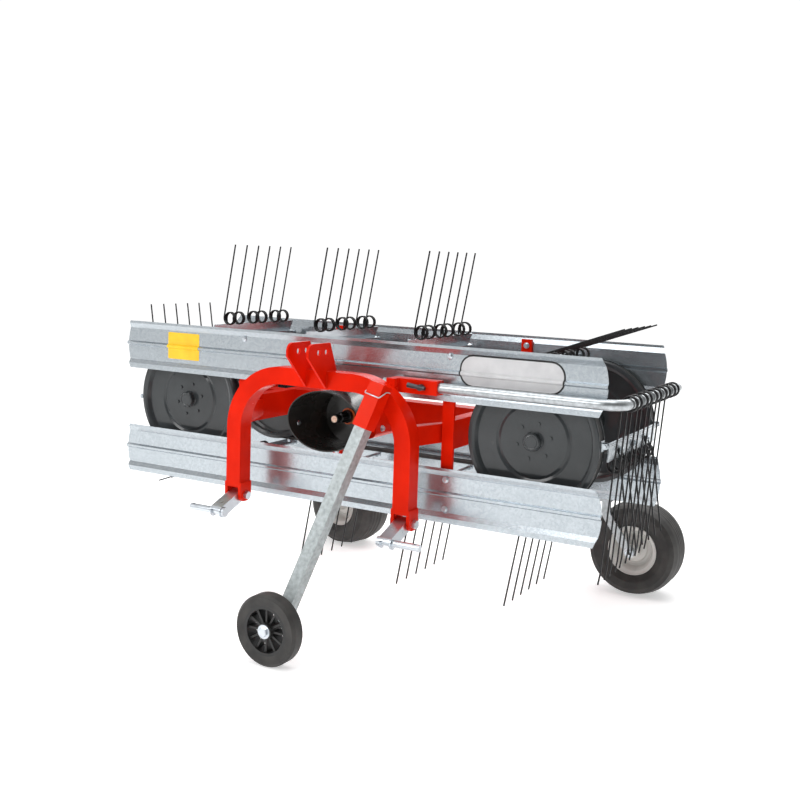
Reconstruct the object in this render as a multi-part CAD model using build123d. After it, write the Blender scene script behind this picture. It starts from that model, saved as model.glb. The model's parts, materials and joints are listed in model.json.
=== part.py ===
from build123d import *
import math
import os

# Belt hay tedder and side rake for a small tractor's three-point hitch, in millimetres.
# Frame: origin on the ground in the middle of the red frame, under the front guards' edges.
# +X to the delivery end, where the windrow comb hangs, +Y away from the tractor, +Z up.

# Driving sizes of the whole machine
DEPTH = 635.0               # between the edges of the front and the rear guards
PULLEY_X = 671.0            # half the distance between the two pulley shafts
PULLEY_Z = 662.0            # height of the pulley shafts
GUARD_LENGTH = 1800.0
GUARD_SHIFT = -12.0         # the guards reach further to the left than to the right
GUARD_HEIGHT = 172.0
GUARD_RISE = 186.0          # middles of the two rows of guards, over and under the shafts
GUARD_DROP = 196.0
GUARD_BULGE = 20.0          # how far the cut ends stand out at mid height
GUARD_RECESS = 12.0
GUARD_RIB = 8.0
SHEET = 2.0

# Hitch
TUBE = 56.0                 # square tube of the arch
TUBE_WALL = 4.0
LEG_X = 321.0
ARCH_FRONT = -132.6
ARCH_TOP_Z = 835.0
ARCH_BEND = 185.0           # bend radius on the tube's middle line
SADDLE_Z = 428.0            # where the tube ends in its fork
FORK_WIDTH = 66.0
FORK_SLOT = 44.0
FORK_DROP = 57.0
LINK_BOLT_Z = 391.0
LINK_BOLT_R = 8.0
LINK_PIN_Y = -205.0
LINK_PIN_Z = 352.0
LINK_PIN_R = 11.0
LINK_PIN_TIP = 433.0
LINK_HOLE_R = 5.75
LINK_WALL = 5.0
SIDE_PLAY = 0.5             # each side of a bracket in its fork
RUNNING = 0.1               # radial clearance of a turning fit
EAR_X = 38.0
EAR_PLATE = 8.0
EAR_TOP_Z = 925.0
EAR_HOLE_R = 9.75
EAR_HOLE_Z = 897.0
EAR_HOLES_Y = (-178.0, -135.5)

# Red frame
BEAM_X = 398.0
BEAM_WIDTH = 40.0
BEAM_HEIGHT = 90.0
BEAM_Z = 657.0
POST = 10.0                 # thickness of the flat posts that carry the guards
POST_SPARE = 12.0           # how far a post's end stays short of the guard's edge
CROSS_Y = 317.0
CROSS_WIDTH = 60.0
END_ARM = 60.0
BEARING_R = 40.0
BEARING_GAP = 52.0          # from a belt's middle to the end of the bearing tube
SHAFT_R = 20.0
BRACE_HEIGHT = 60.0

# Pulleys, belts and tine bars
PULLEY_Y = 58.0             # middle of a belt, in from the edge of its guard
BELT_R = 200.0              # inside of the belt on the pulley
BELT = 10.0
BELT_WIDTH = 36.0
FLANGE = 3.0
FLANGE_RISE = 13.0          # the pulleys' lips over their belt seat
RIM_WALL = 8.0
WEB = 4.0
WEB_SET_BACK = 12.0         # the web behind the pulley's front lip
RING_R = 116.0              # pressed ring in the web
RING_WIDTH = 16.0
RING_DEPTH = 3.0
HUB_R = 42.0
NUB_R = 27.0                # the capped end of the hub, outside
NUB = 22.0
HUB_BOLTS_R = 56.0
HUB_BOLT_R = 6.0
HUB_BOLT = 4.0
BELT_PLAY = 0.3
BAR_COUNT = 10
BAR_OFFSET = 208.0          # the middle raised bar's hinge, to the left of the machine's middle
LUG_FOOT = 16.0
LUG_HALF = 7.0
LUG_SIDE = 4.0              # a lug is narrower than its belt by this on each side
PLATE_GAP = 6.0             # between a belt's edge and the bar's plate
LIP = 18.0
HINGE_H = 14.0              # hinge above the belt
HINGE_R = 6.0
BAR_REACH = 73.6            # from the hinge to the coils' middle
BAR_PLATE = 4.0
UPRIGHT = 69.4              # degrees from the trailing belt to the plate, raised and folded
FOLDED = 9.4
TUCKED = -4.6               # half way round a pulley
TINE_LEAN = 10.6            # degrees from the plate's line to the tine
COIL_R = 24.5
WIRE = 5.5
TURNS = 3
TINE = 268.0
TINE_STEP = 67.5
TINES = 6

# Drive
PTO_Z = 667.0
PTO_R = 17.45
PTO_TIP_Y = -20.0
PTO_SHOULDER_Y = 48.0       # where the splines end at a shoulder
PTO_SHOULDER_R = 21.5
PTO_ROOT_Y = 75.0
BOX_WIDTH = 150.0
BOX_HEIGHT = 155.0
BOX_NOSE = 45.0
BOX_NOSE_R = 60.0
BOX_CORNER = 24.0
CUP_MOUTH_Y = -85.0
CUP_FLOOR_Y = 66.0
CUP_WIDTH = 280.0
CUP_HEIGHT = 196.0
CUP_FLOOR_R = 92.0
CUP_WALL = 4.0
SEAL_R = 27.0

# Windrow comb
RAIL_R = 16.0
RAIL_Y = -30.0
RAIL_Z = 805.0
RAIL_START_X = 190.0
RAIL_REACH = 93.0           # the comb's coils beyond the belts' seat
RAIL_BEND = 60.0
RAIL_END_Y = 548.0
HOLDER = 44.0
HOLDER_X = (225.0, 389.0)
HOLDER_PLAY = 0.4
LEVER = 50.0
LEVER_DEEP = 14.0
LEVER_HIGH = 18.0
COMB_SPRINGS = 5             # double springs, two tines each
COMB_FIRST_Y = 35.0
COMB_STEP = 101.0
COMB_TWIN = 58.0            # between the two tines of a spring
COMB_LENGTH = 540.0
COMB_LEAN = 65.0            # how far the comb's tips stand inwards of their coils

# Stand
STAND_TOP = (256.0, -160.5, 812.0)
STAND_AXLE = (72.0, -384.0, 107.0)
STAND_TUBE = 40.0
STAND_WALL = 3.0
STAND_PLAY = 0.4
STAND_FOOT = 26.0           # how far the tube reaches below its axle
SLEEVE_WALL = 5.0
SLEEVE_LENGTH = 142.0
STAND_WHEEL_R = 107.0
STAND_WHEEL_WIDTH = 50.0
STAND_WHEEL_Y = -442.0
STAND_RIM_R = 74.0
STAND_AXLE_R = 10.0
SPOKES = 12

# Castors
CASTOR_X = 612.0
CASTOR_SET_BACK = 86.0      # the swivels behind the castor beam's middle
CASTOR_TRAIL = 160.0
CASTOR_TURN = {-1: -15.0, 1: 0.0}    # how each castor stands at rest, in degrees
TYRE_R = 168.0
TYRE_WIDTH = 165.0
RIM_R = 88.0
RIM_SEAT = 64.0             # half the width between the tyre's beads
RIM_DISC = 20.0             # how far the rim's disc stands before its middle
RIM_HUB = 80.0              # half the hub's length
RIM_HUB_R = 28.0
HEAD_R = 30.0
HEAD_Z = (395.0, 505.0)
SPINDLE_R = 15.0
CASTOR_AXLE_R = 10.0
CASTOR_BEAM = 50.0
CASTOR_BEAM_GAP = 110.0     # between the rear guards' edges and the castor beam
CASTOR_BEAM_Z = 455.0
ARM_WIDTH = 31.0
ARM_DROP = 66.0              # the arm's upright behind the swivel
ARM_KNEE_Z = 296.0
ARM_KNEE_R = 40.0
ARM_PLATE = 12.0
ARM_TOP_Z = 347.0

# The files are written with their origin on the ground under the middle of the whole machine
MIDDLE_X = 16.1
MIDDLE_Y = 236.5

ARCH_Y = ARCH_FRONT + TUBE / 2
ARCH_BACK = ARCH_FRONT + TUBE
BEAM_END_Y = DEPTH + CASTOR_BEAM_GAP
CASTOR_BEAM_Y = BEAM_END_Y + CASTOR_BEAM / 2
CASTOR_Y = CASTOR_BEAM_Y + CASTOR_SET_BACK
BELT_OUT = BELT_R + BELT
FLANGE_R = BELT_R + FLANGE_RISE
RAIL_X = PULLEY_X + BELT_R + RAIL_REACH
GUARD_UPPER_Z = PULLEY_Z + GUARD_RISE
GUARD_LOWER_Z = PULLEY_Z - GUARD_DROP
TINE_FIRST_Y = DEPTH / 2 - (TINES - 1) / 2 * TINE_STEP


def block(x0, x1, y0, y1, z0, z1):
    """A box between two corners."""
    return Pos((x0 + x1) / 2, (y0 + y1) / 2, (z0 + z1) / 2) * Box(x1 - x0, y1 - y0, z1 - z0)


def rod_x(r, x0, x1, y, z):
    return Pos((x0 + x1) / 2, y, z) * Rot(0, 90, 0) * Cylinder(r, x1 - x0)


def rod_y(r, y0, y1, x, z):
    return Pos(x, (y0 + y1) / 2, z) * Rot(90, 0, 0) * Cylinder(r, y1 - y0)


def rod_z(r, z0, z1, x, y):
    return Pos(x, y, (z0 + z1) / 2) * Cylinder(r, z1 - z0)


def side_plate(points, x0, x1):
    """A plate cut from points (y, z), between two places along X."""
    outline = make_face(Polyline(*[(x0, y, z) for y, z in points], close=True))
    return extrude(outline, amount=x1 - x0, dir=(1, 0, 0))


def turned_y(points, x, y, z):
    """A turned piece on an axle along Y: points (radius, distance along +Y from y)."""
    outline = make_face(Polyline(*[(r, a, 0) for r, a in points], close=True))
    return Pos(x, y, z) * revolve(outline, Axis.Y)


def save(name, *shapes):
    solids = [solid for shape in shapes for solid in shape.solids()]
    place = Pos(-MIDDLE_X, -MIDDLE_Y, 0)
    moved = [place * solid for solid in solids]
    whole = moved[0] if len(moved) == 1 else Compound(moved)
    export_step(whole, "parts/" + name + ".step")


os.makedirs("parts", exist_ok=True)


# Hitch arch: one square tube bent to an inverted U, its legs ending in forks
def arch_outline(inset):
    half = LEG_X + TUBE / 2 - inset
    top = ARCH_TOP_Z - inset
    radius = ARCH_BEND + TUBE / 2 - inset
    low = half - TUBE + 2 * inset
    inner = ARCH_BEND - TUBE / 2 + inset
    under = ARCH_TOP_Z - TUBE + inset
    outside = Pos(0, (top + SADDLE_Z) / 2) * Rectangle(2 * half, top - SADDLE_Z)
    outside = fillet(outside.vertices().group_by(Axis.Y)[-1], radius)
    inside = Pos(0, (under + SADDLE_Z) / 2) * Rectangle(2 * low, under - SADDLE_Z)
    inside = fillet(inside.vertices().group_by(Axis.Y)[-1], inner)
    return outside - inside


def arch_solid(inset):
    face = Plane.XZ * arch_outline(inset)
    return Pos(0, ARCH_FRONT + inset, 0) * extrude(face, amount=-(TUBE - 2 * inset))


def fork(x):
    outer = FORK_WIDTH / 2
    low = SADDLE_Z - FORK_DROP
    body = block(x - outer, x + outer, ARCH_FRONT, ARCH_BACK, low, SADDLE_Z + 8)
    body = fillet(body.edges().filter_by(Axis.X).group_by(Axis.Z)[0], LINK_BOLT_Z - low)
    slot = block(x - FORK_SLOT / 2, x + FORK_SLOT / 2, ARCH_FRONT - 1, ARCH_BACK + 1, low - 1, SADDLE_Z - 8)
    return body - slot - rod_x(LINK_BOLT_R + RUNNING, x - 50, x + 50, ARCH_Y, LINK_BOLT_Z)


arch = arch_solid(0) - arch_solid(TUBE_WALL) + fork(-LEG_X) + fork(LEG_X)
save("hitch_arch", arch)

# Top link ears: two plates welded over the arch
ear_points = [
    (ARCH_FRONT, ARCH_TOP_Z - TUBE + 1),
    (ARCH_FRONT - 102, EAR_TOP_Z - 42),
    (ARCH_FRONT - 102, EAR_TOP_Z),
    (ARCH_BACK - 40, EAR_TOP_Z),
    (ARCH_BACK, ARCH_TOP_Z),
    (ARCH_FRONT, ARCH_TOP_Z),
]
ears = []
for side in (-1, 1):
    middle = side * EAR_X
    plate = side_plate(ear_points, middle - EAR_PLATE / 2, middle + EAR_PLATE / 2)
    corner = plate.edges().filter_by(Axis.X).group_by(Axis.Y)[0].group_by(Axis.Z)[-1]
    plate = fillet(corner, 26)
    for hole_y in EAR_HOLES_Y:
        plate -= rod_x(EAR_HOLE_R, middle - 20, middle + 20, hole_y, EAR_HOLE_Z)
    ears.append(plate.solid())
save("top_link_ears", *ears)

# Lower link brackets: folded channels on a bolt, each with a hitch pin pointing outwards
for side, word in ((-1, "left"), (1, "right")):
    x = side * LEG_X
    half = FORK_SLOT / 2 - SIDE_PLAY
    reach = math.hypot(LINK_PIN_Y - ARCH_Y, LINK_PIN_Z - LINK_BOLT_Z)
    tilt = math.degrees(math.atan2(LINK_PIN_Z - LINK_BOLT_Z, LINK_PIN_Y - ARCH_Y))
    strip = extrude(Plane.YZ * SlotCenterToCenter(reach, 38), amount=half, both=True)
    pocket = block(-half + LINK_WALL, half - LINK_WALL, -reach, reach, -19 + LINK_WALL, 30)
    channel = Pos(x, ARCH_Y, LINK_BOLT_Z) * Rot(tilt, 0, 0) * Pos(0, reach / 2, 0) * (strip - pocket)
    tip = side * LINK_PIN_TIP
    root = x - side * (half + 9)
    pin = rod_x(LINK_PIN_R, min(tip, root), max(tip, root), LINK_PIN_Y, LINK_PIN_Z)
    head = rod_x(LINK_PIN_R + 5, min(root, root + side * 9), max(root, root + side * 9), LINK_PIN_Y, LINK_PIN_Z)
    bracket = channel + pin + head
    bracket -= rod_x(LINK_BOLT_R + RUNNING, x - 40, x + 40, ARCH_Y, LINK_BOLT_Z)
    bracket -= rod_z(LINK_HOLE_R, LINK_PIN_Z - 20, LINK_PIN_Z + 20, side * (LINK_PIN_TIP - 14), LINK_PIN_Y)
    save("link_bracket_" + word, bracket)

bolts = []
for side in (-1, 1):
    x = side * LEG_X
    bolt = rod_x(LINK_BOLT_R, x - 45, x + 45, ARCH_Y, LINK_BOLT_Z)
    for end in (-1, 1):
        head = Pos(x + end * (FORK_WIDTH / 2 + 6), ARCH_Y, LINK_BOLT_Z) * Rot(0, 90, 0)
        bolt += head * extrude(RegularPolygon(14, 6), amount=6, both=True)
    bolts.append(bolt.solid())
save("link_bolts", *bolts)

# Red frame: two side beams, a cross beam, braces from the arch, posts for the guards
beam_low = BEAM_Z - BEAM_HEIGHT / 2
beam_high = BEAM_Z + BEAM_HEIGHT / 2
post_front = GUARD_RECESS + SHEET
post_back = DEPTH - post_front
beams = []
for side in (-1, 1):
    x = side * BEAM_X
    half = BEAM_WIDTH / 2
    beams.append(block(x - half, x + half, post_front + POST, BEAM_END_Y, beam_low, beam_high))
save("side_beams", *beams)

inner = BEAM_X - BEAM_WIDTH / 2
outer = BEAM_X + BEAM_WIDTH / 2
cross = block(-inner, inner, CROSS_Y - CROSS_WIDTH / 2, CROSS_Y + CROSS_WIDTH / 2, beam_low, beam_high)
save("cross_beam", cross)

braces = []
for side in (-1, 1):
    plan = [(LEG_X - 20, ARCH_BACK), (LEG_X + 20, ARCH_BACK), (inner, 40), (inner, 100)]
    outline = make_face(Polyline(*[(side * x, y, BEAM_Z - BRACE_HEIGHT / 2) for x, y in plan], close=True))
    braces.append(extrude(outline, amount=BRACE_HEIGHT, dir=(0, 0, 1)).solid())
save("braces", *braces)

upper_low = GUARD_UPPER_Z - GUARD_HEIGHT / 2
upper_high = GUARD_UPPER_Z + GUARD_HEIGHT / 2
lower_low = GUARD_LOWER_Z - GUARD_HEIGHT / 2
lower_high = GUARD_LOWER_Z + GUARD_HEIGHT / 2
posts = []
for side in (-1, 1):
    x0 = side * BEAM_X - BEAM_WIDTH / 2
    x1 = side * BEAM_X + BEAM_WIDTH / 2
    posts.append(block(x0, x1, post_front, post_front + POST, lower_low + POST_SPARE, upper_high - POST_SPARE))
    posts.append(block(x0, x1, post_back - POST, post_back, beam_high, upper_high - POST_SPARE))
    posts.append(block(x0, x1, post_back - POST, post_back, lower_low + POST_SPARE, beam_low))
save("guard_posts", *posts)

arms = []
tubes = []
shafts = []
for side in (-1, 1):
    x = side * PULLEY_X
    near = side * outer
    far = x - side * BEARING_R * 0.8
    half = END_ARM / 2
    bearing = rod_y(BEARING_R, PULLEY_Y + BEARING_GAP, DEPTH - PULLEY_Y - BEARING_GAP, x, PULLEY_Z)
    arm = block(min(near, far), max(near, far), CROSS_Y - half, CROSS_Y + half, PULLEY_Z - half, PULLEY_Z + half)
    arms.append((arm - bearing).solid())
    tubes.append((bearing - rod_y(SHAFT_R + RUNNING, 0, DEPTH, x, PULLEY_Z)).solid())
    end = PULLEY_Y - BELT_WIDTH / 2 - FLANGE - BELT_PLAY + WEB_SET_BACK - NUB + 2
    shafts.append(rod_y(SHAFT_R, end, DEPTH - end, x, PULLEY_Z))
save("end_arms", *arms)
save("bearing_tubes", *tubes)
save("pulley_shafts", *shafts)


# Sheet guards: one folded profile, its ends cut to a shallow arc
def guard(y_edge, outwards, middle_z):
    top = middle_z + GUARD_HEIGHT / 2
    # share of the height from the top, depth behind the edge
    folds = [(0.0, 0.0), (0.05, 0.0), (0.15, GUARD_RECESS), (0.43, GUARD_RECESS),
             (0.46, GUARD_RECESS - GUARD_RIB), (0.50, GUARD_RECESS - GUARD_RIB), (0.53, GUARD_RECESS),
             (0.82, GUARD_RECESS), (0.90, 0.0), (1.0, 0.0)]
    face = [(y_edge - outwards * depth, top - share * GUARD_HEIGHT) for share, depth in folds]
    back = [(y - outwards * SHEET, z) for y, z in reversed(face)]
    half = GUARD_LENGTH / 2 + GUARD_BULGE
    sheet = side_plate(face + back, GUARD_SHIFT - half, GUARD_SHIFT + half)
    straight = GUARD_LENGTH / 2
    low = middle_z - GUARD_HEIGHT / 2
    at = lambda x, z: (GUARD_SHIFT + x, 0, z)
    edge = Curve() + [
        Line(at(-straight, top), at(straight, top)),
        ThreePointArc(at(straight, top), at(half, middle_z), at(straight, low)),
        Line(at(straight, low), at(-straight, low)),
        ThreePointArc(at(-straight, low), at(-half, middle_z), at(-straight, top)),
    ]
    cutter = Pos(0, DEPTH / 2, 0) * extrude(make_face(edge), amount=DEPTH, dir=(0, 1, 0), both=True)
    return sheet & cutter


save("guard_front_upper", guard(0, -1, GUARD_UPPER_Z))
save("guard_front_lower", guard(0, -1, GUARD_LOWER_Z))
save("guard_rear_upper", guard(DEPTH, 1, GUARD_UPPER_Z))
save("guard_rear_lower", guard(DEPTH, 1, GUARD_LOWER_Z))


# Pulleys: pressed discs, a lip each side of the belt's seat, a ring in the web and a capped hub
def pulley(x, y, outwards):
    half = BELT_WIDTH / 2 + FLANGE + BELT_PLAY
    seat = BELT_WIDTH / 2 + BELT_PLAY
    front = half - WEB_SET_BACK
    back = front - WEB
    drum = BELT_R - RIM_WALL
    bend = RIM_WALL
    ring_in = RING_R - RING_WIDTH / 2
    ring_out = RING_R + RING_WIDTH / 2
    # radius, distance outwards from the belt's middle, round the section
    section = [
        (SHAFT_R, -half), (HUB_R, -half), (HUB_R, back),
        (ring_in, back), (RING_R, back - RING_DEPTH), (ring_out, back),
        (drum - bend, back), (drum, back - bend), (drum, -half), (BELT_R, -half - FLANGE), (FLANGE_R - 3, -half - 2),
        (FLANGE_R, -half), (FLANGE_R, -seat), (BELT_R, -seat),
        (BELT_R, seat), (FLANGE_R, seat), (FLANGE_R, half), (FLANGE_R - 3, half + 2), (BELT_R, half + FLANGE),
        (drum, half), (drum - bend, front),
        (ring_out, front), (RING_R, front - RING_DEPTH), (ring_in, front),
        (NUB_R + 3, front), (NUB_R, front + 3), (NUB_R, front + NUB - 3), (NUB_R - 3, front + NUB),
        (SHAFT_R, front + NUB),
    ]
    disc = turned_y([(r, outwards * a) for r, a in section], x, y, PULLEY_Z)
    for turn in range(6):
        angle = math.radians(60 * turn + 15)
        near, far = y + outwards * (front - 1), y + outwards * (front + HUB_BOLT)
        disc += rod_y(HUB_BOLT_R, min(near, far), max(near, far), x + HUB_BOLTS_R * math.cos(angle),
                      PULLEY_Z + HUB_BOLTS_R * math.sin(angle))
    return disc.solid()


save("front_pulleys", *[pulley(side * PULLEY_X, PULLEY_Y, -1) for side in (-1, 1)])
save("rear_pulleys", *[pulley(side * PULLEY_X, DEPTH - PULLEY_Y, 1) for side in (-1, 1)])


def belt(y):
    ring = SlotCenterToCenter(2 * PULLEY_X, 2 * BELT_OUT) - SlotCenterToCenter(2 * PULLEY_X, 2 * BELT_R)
    return Pos(0, y, PULLEY_Z) * Rot(90, 0, 0) * extrude(ring, amount=BELT_WIDTH / 2, both=True)


save("front_belt", belt(PULLEY_Y))
save("rear_belt", belt(DEPTH - PULLEY_Y))


# Tine bars: ten, evenly spaced along the belts. The top run travels to -X.
# They ride folded back round the pulleys and stand up on the straight runs.
def on_belt(travel):
    """Place (x, z) of the belt's outside and its outward angle from up, towards +X."""
    half_turn = math.pi * (BELT_R + BELT / 2)
    lap = 4 * PULLEY_X + 2 * half_turn
    s = travel % lap
    if s < 2 * PULLEY_X:
        return PULLEY_X - s, PULLEY_Z + BELT_OUT, 0.0
    s -= 2 * PULLEY_X
    if s < half_turn:
        turn = -s / (BELT_R + BELT / 2)
        return -PULLEY_X + BELT_OUT * math.sin(turn), PULLEY_Z + BELT_OUT * math.cos(turn), math.degrees(turn)
    s -= half_turn
    if s < 2 * PULLEY_X:
        return -PULLEY_X + s, PULLEY_Z - BELT_OUT, 180.0
    turn = math.pi - (s - 2 * PULLEY_X) / (BELT_R + BELT / 2)
    return PULLEY_X + BELT_OUT * math.sin(turn), PULLEY_Z + BELT_OUT * math.cos(turn), math.degrees(turn)


def coil(low, high, inner_r, x, z):
    """A closely wound coil on an axis along Y, its turns marked by grooves."""
    outer_r = COIL_R + 0.4
    turn = (high - low) / TURNS
    points = [(inner_r, low), (outer_r - 1.6, low)]
    for k in range(TURNS):
        points += [(outer_r, low + turn * (k + 0.3)), (outer_r, low + turn * (k + 0.7)),
                   (outer_r - 1.6, low + turn * (k + 1))]
    points.append((inner_r, high))
    return turned_y(points, x, 0, z)


def tine_bar(raised):
    """A bar at the middle of the top run: hinge line at the origin, trailing side to +X, up is +Z."""
    swing = math.radians(raised)
    along = (math.cos(swing), math.sin(swing))
    first = PULLEY_Y - BELT_WIDTH / 2
    near = PULLEY_Y + BELT_WIDTH / 2 + PLATE_GAP
    edge = BAR_REACH - COIL_R + WIRE / 2
    bar = rod_y(HINGE_R, first, DEPTH - first, 0, 0)
    folded = block(0, edge, near, DEPTH - near, -BAR_PLATE / 2, BAR_PLATE / 2)
    folded += block(HINGE_R + 4, HINGE_R + 4 + BAR_PLATE, near, DEPTH - near, -LIP, 0)
    bar += Rot(0, -raised, 0) * folded
    for y in (PULLEY_Y, DEPTH - PULLEY_Y):
        half = BELT_WIDTH / 2 - LUG_SIDE
        bar += block(-LUG_FOOT, LUG_FOOT, y - half, y + half, -HINGE_H, -HINGE_H + 5)
        bar += block(-LUG_HALF, LUG_HALF, y - half, y + half, -HINGE_H, 0)
    coil_x = BAR_REACH * along[0]
    coil_z = BAR_REACH * along[1]
    lean = math.radians(raised + TINE_LEAN)
    out = (math.cos(lean), math.sin(lean))
    side_on = (-out[1], out[0])
    middle_r = COIL_R - WIRE / 2
    for k in range(TINES):
        y = TINE_FIRST_Y + k * TINE_STEP
        inwards = 1 if k % 2 == 0 else -1
        y_far = y + inwards * WIRE * TURNS
        low, high = min(y, y_far) - WIRE / 2, max(y, y_far) + WIRE / 2
        ring = coil(low, high, COIL_R - WIRE - 0.4, coil_x, coil_z)
        start = (coil_x + side_on[0] * middle_r, y, coil_z + side_on[1] * middle_r)
        wire = Plane(origin=start, z_dir=(out[0], 0, out[1])) * Pos(0, 0, TINE / 2) * Cylinder(WIRE / 2, TINE)
        bar += ring
        bar += wire
    return bar


pitch = (4 * PULLEY_X + 2 * math.pi * (BELT_R + BELT / 2)) / BAR_COUNT
first_travel = PULLEY_X + BAR_OFFSET - 2 * pitch
upright_bar = tine_bar(UPRIGHT)
folded_bar = tine_bar(FOLDED)
tucked_bar = tine_bar(TUCKED)
for k in range(BAR_COUNT):
    travel = first_travel + k * pitch
    x, z, out_angle = on_belt(travel)
    rise = HINGE_H
    turn = math.radians(out_angle)
    straight = abs(math.sin(turn)) < 1e-6
    just_past = straight and (travel % (5 * pitch)) < pitch * 0.6
    shape = tucked_bar if not straight else folded_bar if just_past else upright_bar
    place = Pos(x + rise * math.sin(turn), 0, z + rise * math.cos(turn)) * Rot(0, out_angle, 0)
    save("tine_bar_%02d" % (k + 1), place * shape)

# Drive: a gearbox on the cross beam, its input shaft, the seal and the shaft's guard
box_back = CROSS_Y - CROSS_WIDTH / 2
box_front = PTO_ROOT_Y + BOX_NOSE
case = block(-BOX_WIDTH / 2, BOX_WIDTH / 2, box_front, box_back, PTO_Z - BOX_HEIGHT / 2, PTO_Z + BOX_HEIGHT / 2)
case = fillet(case.edges().filter_by(Axis.Y), BOX_CORNER)
case += rod_y(BOX_NOSE_R, PTO_ROOT_Y, box_front, 0, PTO_Z)
save("gearbox", case)

shaft = rod_y(PTO_R, PTO_TIP_Y, PTO_SHOULDER_Y, 0, PTO_Z)
shaft += rod_y(PTO_SHOULDER_R, PTO_SHOULDER_Y, PTO_ROOT_Y, 0, PTO_Z)
save("pto_shaft", shaft)

floor_hole = SEAL_R + 1
seal = rod_y(SEAL_R, CUP_FLOOR_Y - 4, PTO_ROOT_Y, 0, PTO_Z)
seal -= rod_y(PTO_SHOULDER_R, CUP_FLOOR_Y - 9, PTO_ROOT_Y + 5, 0, PTO_Z)
save("shaft_seal", seal)


def cup_solid(inset, y0, y1):
    mouth = Pos(0, y0, PTO_Z) * Rot(90, 0, 0) * Ellipse(CUP_WIDTH / 2 - inset, CUP_HEIGHT / 2 - inset)
    floor = Pos(0, y1, PTO_Z) * Rot(90, 0, 0) * Ellipse(CUP_FLOOR_R - inset, CUP_FLOOR_R - inset)
    return loft([mouth, floor])


cup = cup_solid(0, CUP_MOUTH_Y, PTO_ROOT_Y) - cup_solid(CUP_WALL, CUP_MOUTH_Y - 0.01, CUP_FLOOR_Y)
cup -= rod_y(floor_hole, CUP_FLOOR_Y - 5, PTO_ROOT_Y + 5, 0, PTO_Z)
save("pto_guard", cup)

# Windrow comb: a bent tube that slides in its holder, with coil tines wound on its far leg
holder_back = ARCH_BACK
holder = block(HOLDER_X[0], HOLDER_X[1], RAIL_Y - HOLDER / 2, RAIL_Y + HOLDER / 2,
               RAIL_Z - HOLDER / 2, RAIL_Z + HOLDER / 2)
holder += block(HOLDER_X[0], HOLDER_X[0] + 30, ARCH_BACK, RAIL_Y, RAIL_Z - HOLDER / 2, RAIL_Z + HOLDER / 2)
holder -= rod_x(RAIL_R + HOLDER_PLAY, HOLDER_X[0] - 5, HOLDER_X[1] + 5, RAIL_Y, RAIL_Z)
save("rail_holder", holder)

lever_x = (HOLDER_X[0] + HOLDER_X[1]) / 2 + 18
lever = block(lever_x - LEVER / 2, lever_x + LEVER / 2, RAIL_Y - HOLDER / 2 - LEVER_DEEP, RAIL_Y - HOLDER / 2,
              RAIL_Z - LEVER_HIGH / 2, RAIL_Z + LEVER_HIGH / 2)
save("clamp_lever", lever)

rail_path = FilletPolyline((RAIL_START_X, RAIL_Y, RAIL_Z), (RAIL_X, RAIL_Y, RAIL_Z),
                           (RAIL_X, RAIL_END_Y, RAIL_Z), radius=RAIL_BEND)
rail_section = Plane(origin=rail_path @ 0, z_dir=rail_path % 0) * (Circle(RAIL_R) - Circle(RAIL_R - 3))
save("comb_rail", sweep(rail_section, rail_path))

comb = []
for k in range(2 * COMB_SPRINGS):
    y = COMB_FIRST_Y + (k // 2) * COMB_STEP + (k % 2) * COMB_TWIN
    inwards = 1 if k % 2 == 0 else -1
    y_far = y + inwards * WIRE * TURNS
    low, high = min(y, y_far) - WIRE / 2, max(y, y_far) + WIRE / 2
    ring = coil(low, high, RAIL_R, RAIL_X, RAIL_Z)
    start = Vector(RAIL_X - COIL_R + WIRE / 2 + 0.6, y, RAIL_Z - 3)
    end = Vector(RAIL_X - COMB_LEAN, y, RAIL_Z - COMB_LENGTH)
    wire = Plane(origin=start, z_dir=end - start) * Pos(0, 0, (end - start).length / 2)
    comb.append((ring + wire * Cylinder(WIRE / 2, (end - start).length)).solid())
save("comb_tines", *comb)

# Stand: a square tube in an inclined sleeve, with a jockey wheel in front of its foot
top = Vector(*STAND_TOP)
foot = Vector(*STAND_AXLE)
stand_up = (top - foot).normalized()
across = (Vector(1, 0, 0) - stand_up * stand_up.X).normalized()
stand_plane = Plane(origin=foot, x_dir=across, z_dir=stand_up)
stand_length = (top - foot).length
half_tube = STAND_TUBE / 2
bore = half_tube + STAND_PLAY
wall = bore + SLEEVE_WALL
sleeve_low = stand_length - SLEEVE_LENGTH + 5
sleeve_box = Pos(0, 0, sleeve_low + SLEEVE_LENGTH / 2) * Box(2 * wall, 2 * wall, SLEEVE_LENGTH)
sleeve = stand_plane * sleeve_box
web_top = ARCH_TOP_Z - 35
web_x = STAND_TOP[0] - 14
web = side_plate([(ARCH_FRONT, web_top - TUBE), (ARCH_FRONT, web_top), (STAND_TOP[1], web_top),
                  (STAND_TOP[1] - 24, web_top - 70)], web_x - 6, web_x + 6)
sleeve = sleeve + web
sleeve -= stand_plane * (Pos(0, 0, stand_length / 2) * Box(2 * bore, 2 * bore, stand_length + 100))
save("stand_sleeve", sleeve)

tube_top = stand_length - 12
tube_low = -STAND_FOOT
tube_mid = (tube_top + tube_low) / 2
outer_tube = Pos(0, 0, tube_mid) * Box(STAND_TUBE, STAND_TUBE, tube_top - tube_low)
inner_tube = Pos(0, 0, tube_mid) * Box(STAND_TUBE - 2 * STAND_WALL, STAND_TUBE - 2 * STAND_WALL, tube_top)
leg = stand_plane * (outer_tube - inner_tube)
wheel_front = STAND_WHEEL_Y - STAND_WHEEL_WIDTH / 2
leg += rod_y(STAND_AXLE_R, wheel_front - 8, STAND_AXLE[1], STAND_AXLE[0], STAND_AXLE[2])
leg += rod_y(STAND_AXLE_R + 6, STAND_WHEEL_Y + STAND_WHEEL_WIDTH / 2 + 1, STAND_AXLE[1], STAND_AXLE[0], STAND_AXLE[2])
save("stand_tube", leg)

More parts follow.
